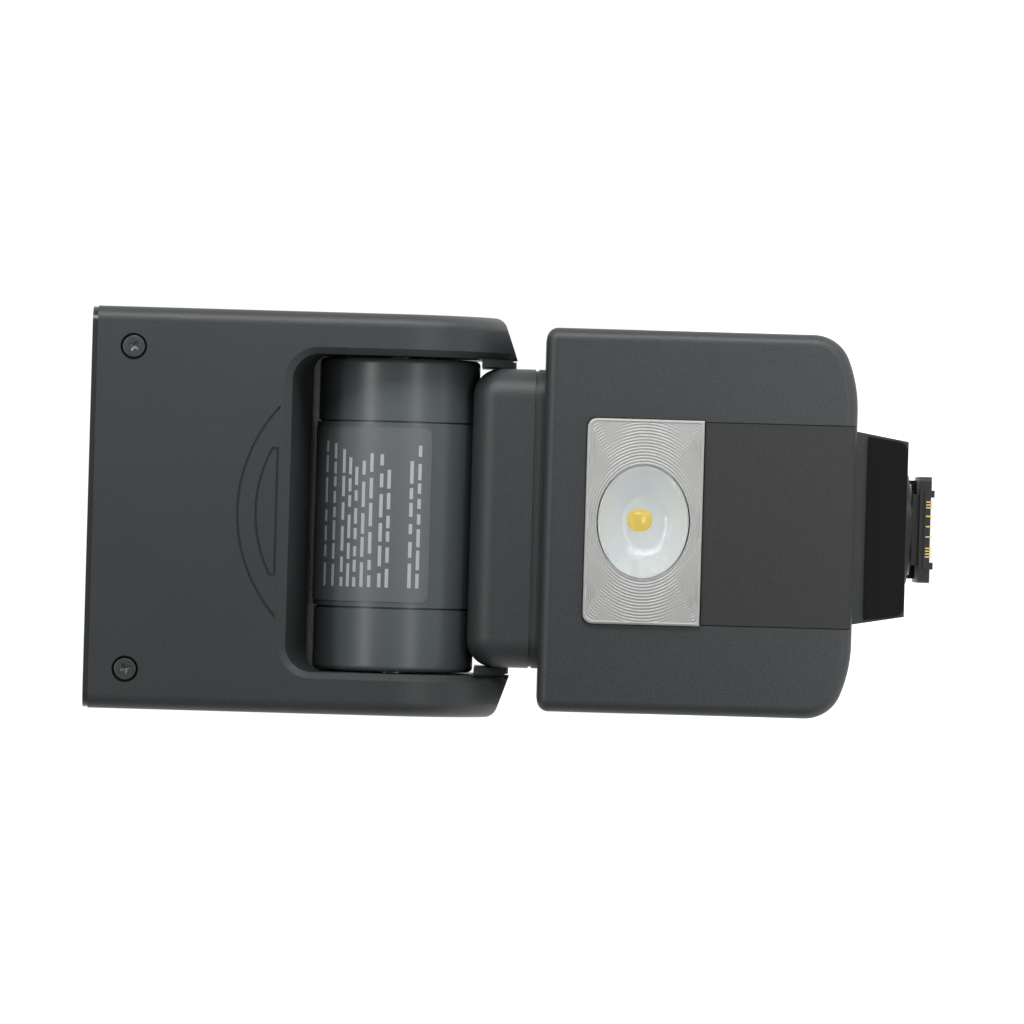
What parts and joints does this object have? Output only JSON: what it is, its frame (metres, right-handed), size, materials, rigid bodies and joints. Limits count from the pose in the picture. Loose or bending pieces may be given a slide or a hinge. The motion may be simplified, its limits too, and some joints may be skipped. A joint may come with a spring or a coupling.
{
  "type": "speedlight flash",
  "caption": "Compact camera flash with a swivelling, tilting head, a front LED light, rear controls and a locking hot-shoe foot.",
  "frame": {"origin": "underside of the foot, at the middle of the foot and in the plane of its contacts", "axes": "+Z from the foot to the head, -Y out of the side with the LED light, +X to the right as seen from that side"},
  "size_m": [0.0694, 0.0572, 0.1471],
  "materials": {
    "case_plastic": "fine-grain satin black",
    "panel_plastic": "matte black",
    "dark_gloss": "glossy near-black tinted plastic",
    "lamp_clear": "clear moulded lens plastic",
    "flash_clear": "clear ribbed lens plastic",
    "white_plastic": "white satin plastic",
    "led_yellow": "yellow phosphor",
    "bright_metal": "machined steel",
    "foot_metal": "satin black",
    "alloy": "bare extrusion",
    "gold": "gold plated",
    "screw_black": "black oxide",
    "board_green": "solder resist",
    "cell_wrap": "plain printed sleeve",
    "capacitor_sleeve": "shrink sleeve",
    "mirror_metal": "vacuum coated",
    "quartz": "clear quartz",
    "label_grey": "bare grey label film",
    "button_plastic": "satin black",
    "screen": "clear screen cover"
  },
  "bodies": {
    "body": {"front_casing": "case_plastic", "rear_casing": "case_plastic", "front_panel": "panel_plastic", "led_window": "lamp_clear", "led_reflector": "white_plastic", "led_board": "board_green", "led_chip": "led_yellow", "led_heatsink": "alloy", "chin_casing": "case_plastic", "sensor_window": "dark_gloss", "sensor_board": "board_green", "foot_rail": "foot_metal", "contact_block": "button_plastic", "contact_pins": "gold", "foot_screws": "bright_metal", "battery_tray": "button_plastic", "aa_cells": "cell_wrap", "battery_contacts": "bright_metal", "door_hinge_pin": "bright_metal", "main_capacitor": "capacitor_sleeve", "main_board": "board_green", "control_board": "board_green", "lcd_module": "screen", "lcd_window": "screen", "swivel_collar": "case_plastic"},
    "battery_door": {"battery_door": "case_plastic", "door_contacts": "bright_metal"},
    "foot_lock_lever": {"foot_lock_lever": "button_plastic"},
    "foot_lock_pin": {"foot_lock_pin": "bright_metal"},
    "control_wheel": {"control_wheel": "button_plastic"},
    "centre_button": {"centre_button": "button_plastic"},
    "mode_button": {"mode_button": "button_plastic"},
    "timer_button": {"timer_button": "button_plastic"},
    "zoom_button": {"zoom_button": "button_plastic"},
    "back_button": {"back_button": "button_plastic"},
    "test_button": {"test_button": "button_plastic"},
    "power_switch": {"power_switch": "button_plastic"},
    "neck": {"neck_block": "case_plastic", "swivel_tube": "case_plastic", "swivel_retainer": "bright_metal", "neck_barrel": "case_plastic", "barrel_sleeves": "case_plastic", "pivot_shafts": "bright_metal", "rating_label": "label_grey"},
    "head": {"head_bottom_cover": "case_plastic", "head_top_cover": "case_plastic", "arm_lips": "case_plastic", "head_screws": "screw_black", "window_bezel": "dark_gloss", "flash_window": "flash_clear", "zoom_motor": "bright_metal", "motor_bracket": "bright_metal", "guide_rod": "bright_metal", "trigger_coil": "capacitor_sleeve"},
    "zoom_unit": {"zoom_carriage": "button_plastic", "reflector": "mirror_metal", "flash_tube": "quartz"},
    "lead_screw": {"lead_screw": "bright_metal"},
    "wide_panel": {"wide_panel": "flash_clear"},
    "bounce_card": {"bounce_card": "white_plastic"}
  },
  "joints": [
    {"name": "head_swivel", "type": "hinge", "parent": "body", "child": "neck", "pos_m": [0, -0.0089, 0.0703], "axis": [0, 0, 1], "range_deg": [-180, 180]},
    {"name": "head_tilt", "type": "hinge", "parent": "neck", "child": "head", "pos_m": [0, -0.0089, 0.094], "axis": [1, 0, 0], "range_deg": [0, 95]},
    {"name": "zoom_slide", "type": "slide", "parent": "head", "child": "zoom_unit", "axis": [0, 0, 1], "range_m": [0, 0.011]},
    {"name": "zoom_screw", "type": "hinge", "parent": "head", "child": "lead_screw", "pos_m": [0.029, -0.016, 0.13], "axis": [0, 0, 1], "range_deg": [0, 1320]},
    {"name": "wide_panel_slide", "type": "slide", "parent": "head", "child": "wide_panel", "axis": [0, 0, 1], "range_m": [0, 0.024]},
    {"name": "bounce_card_slide", "type": "slide", "parent": "head", "child": "bounce_card", "axis": [0, 0, 1], "range_m": [0, 0.024]},
    {"name": "door_hinge", "type": "hinge", "parent": "body", "child": "battery_door", "pos_m": [0.0319, 0.0189, 0.035], "axis": [0, 0, 1], "range_deg": [0, 95]},
    {"name": "wheel_turn", "type": "hinge", "parent": "body", "child": "control_wheel", "pos_m": [0, 0.0265, 0.0232], "axis": [0, 1, 0], "continuous": true},
    {"name": "centre_press", "type": "slide", "parent": "body", "child": "centre_button", "axis": [0, -1, 0], "range_m": [0, 0.0004], "stiffness_N_per_m": 800},
    {"name": "mode_press", "type": "slide", "parent": "body", "child": "mode_button", "axis": [0, -1, 0], "range_m": [0, 0.0004], "stiffness_N_per_m": 800},
    {"name": "timer_press", "type": "slide", "parent": "body", "child": "timer_button", "axis": [0, -1, 0], "range_m": [0, 0.0004], "stiffness_N_per_m": 800},
    {"name": "zoom_press", "type": "slide", "parent": "body", "child": "zoom_button", "axis": [0, -1, 0], "range_m": [0, 0.0004], "stiffness_N_per_m": 800},
    {"name": "back_press", "type": "slide", "parent": "body", "child": "back_button", "axis": [0, -1, 0], "range_m": [0, 0.0004], "stiffness_N_per_m": 800},
    {"name": "test_press", "type": "slide", "parent": "body", "child": "test_button", "axis": [0, -1, 0], "range_m": [0, 0.0004], "stiffness_N_per_m": 800},
    {"name": "power_slide", "type": "slide", "parent": "body", "child": "power_switch", "axis": [1, 0, 0], "range_m": [0, 0.005]},
    {"name": "lock_turn", "type": "hinge", "parent": "body", "child": "foot_lock_lever", "pos_m": [0, 0, 0.0046], "axis": [0, 0, 1], "range_deg": [0, 40]},
    {"name": "lock_drop", "type": "slide", "parent": "body", "child": "foot_lock_pin", "axis": [0, 0, -1], "range_m": [0, 0.0015]}
  ],
  "couplings": [
    {"joint": "zoom_screw", "follows": "zoom_slide", "rad_per_m": 2094.4},
    {"joint": "lock_drop", "follows": "lock_turn", "m_per_rad": 0.0021486}
  ]
}
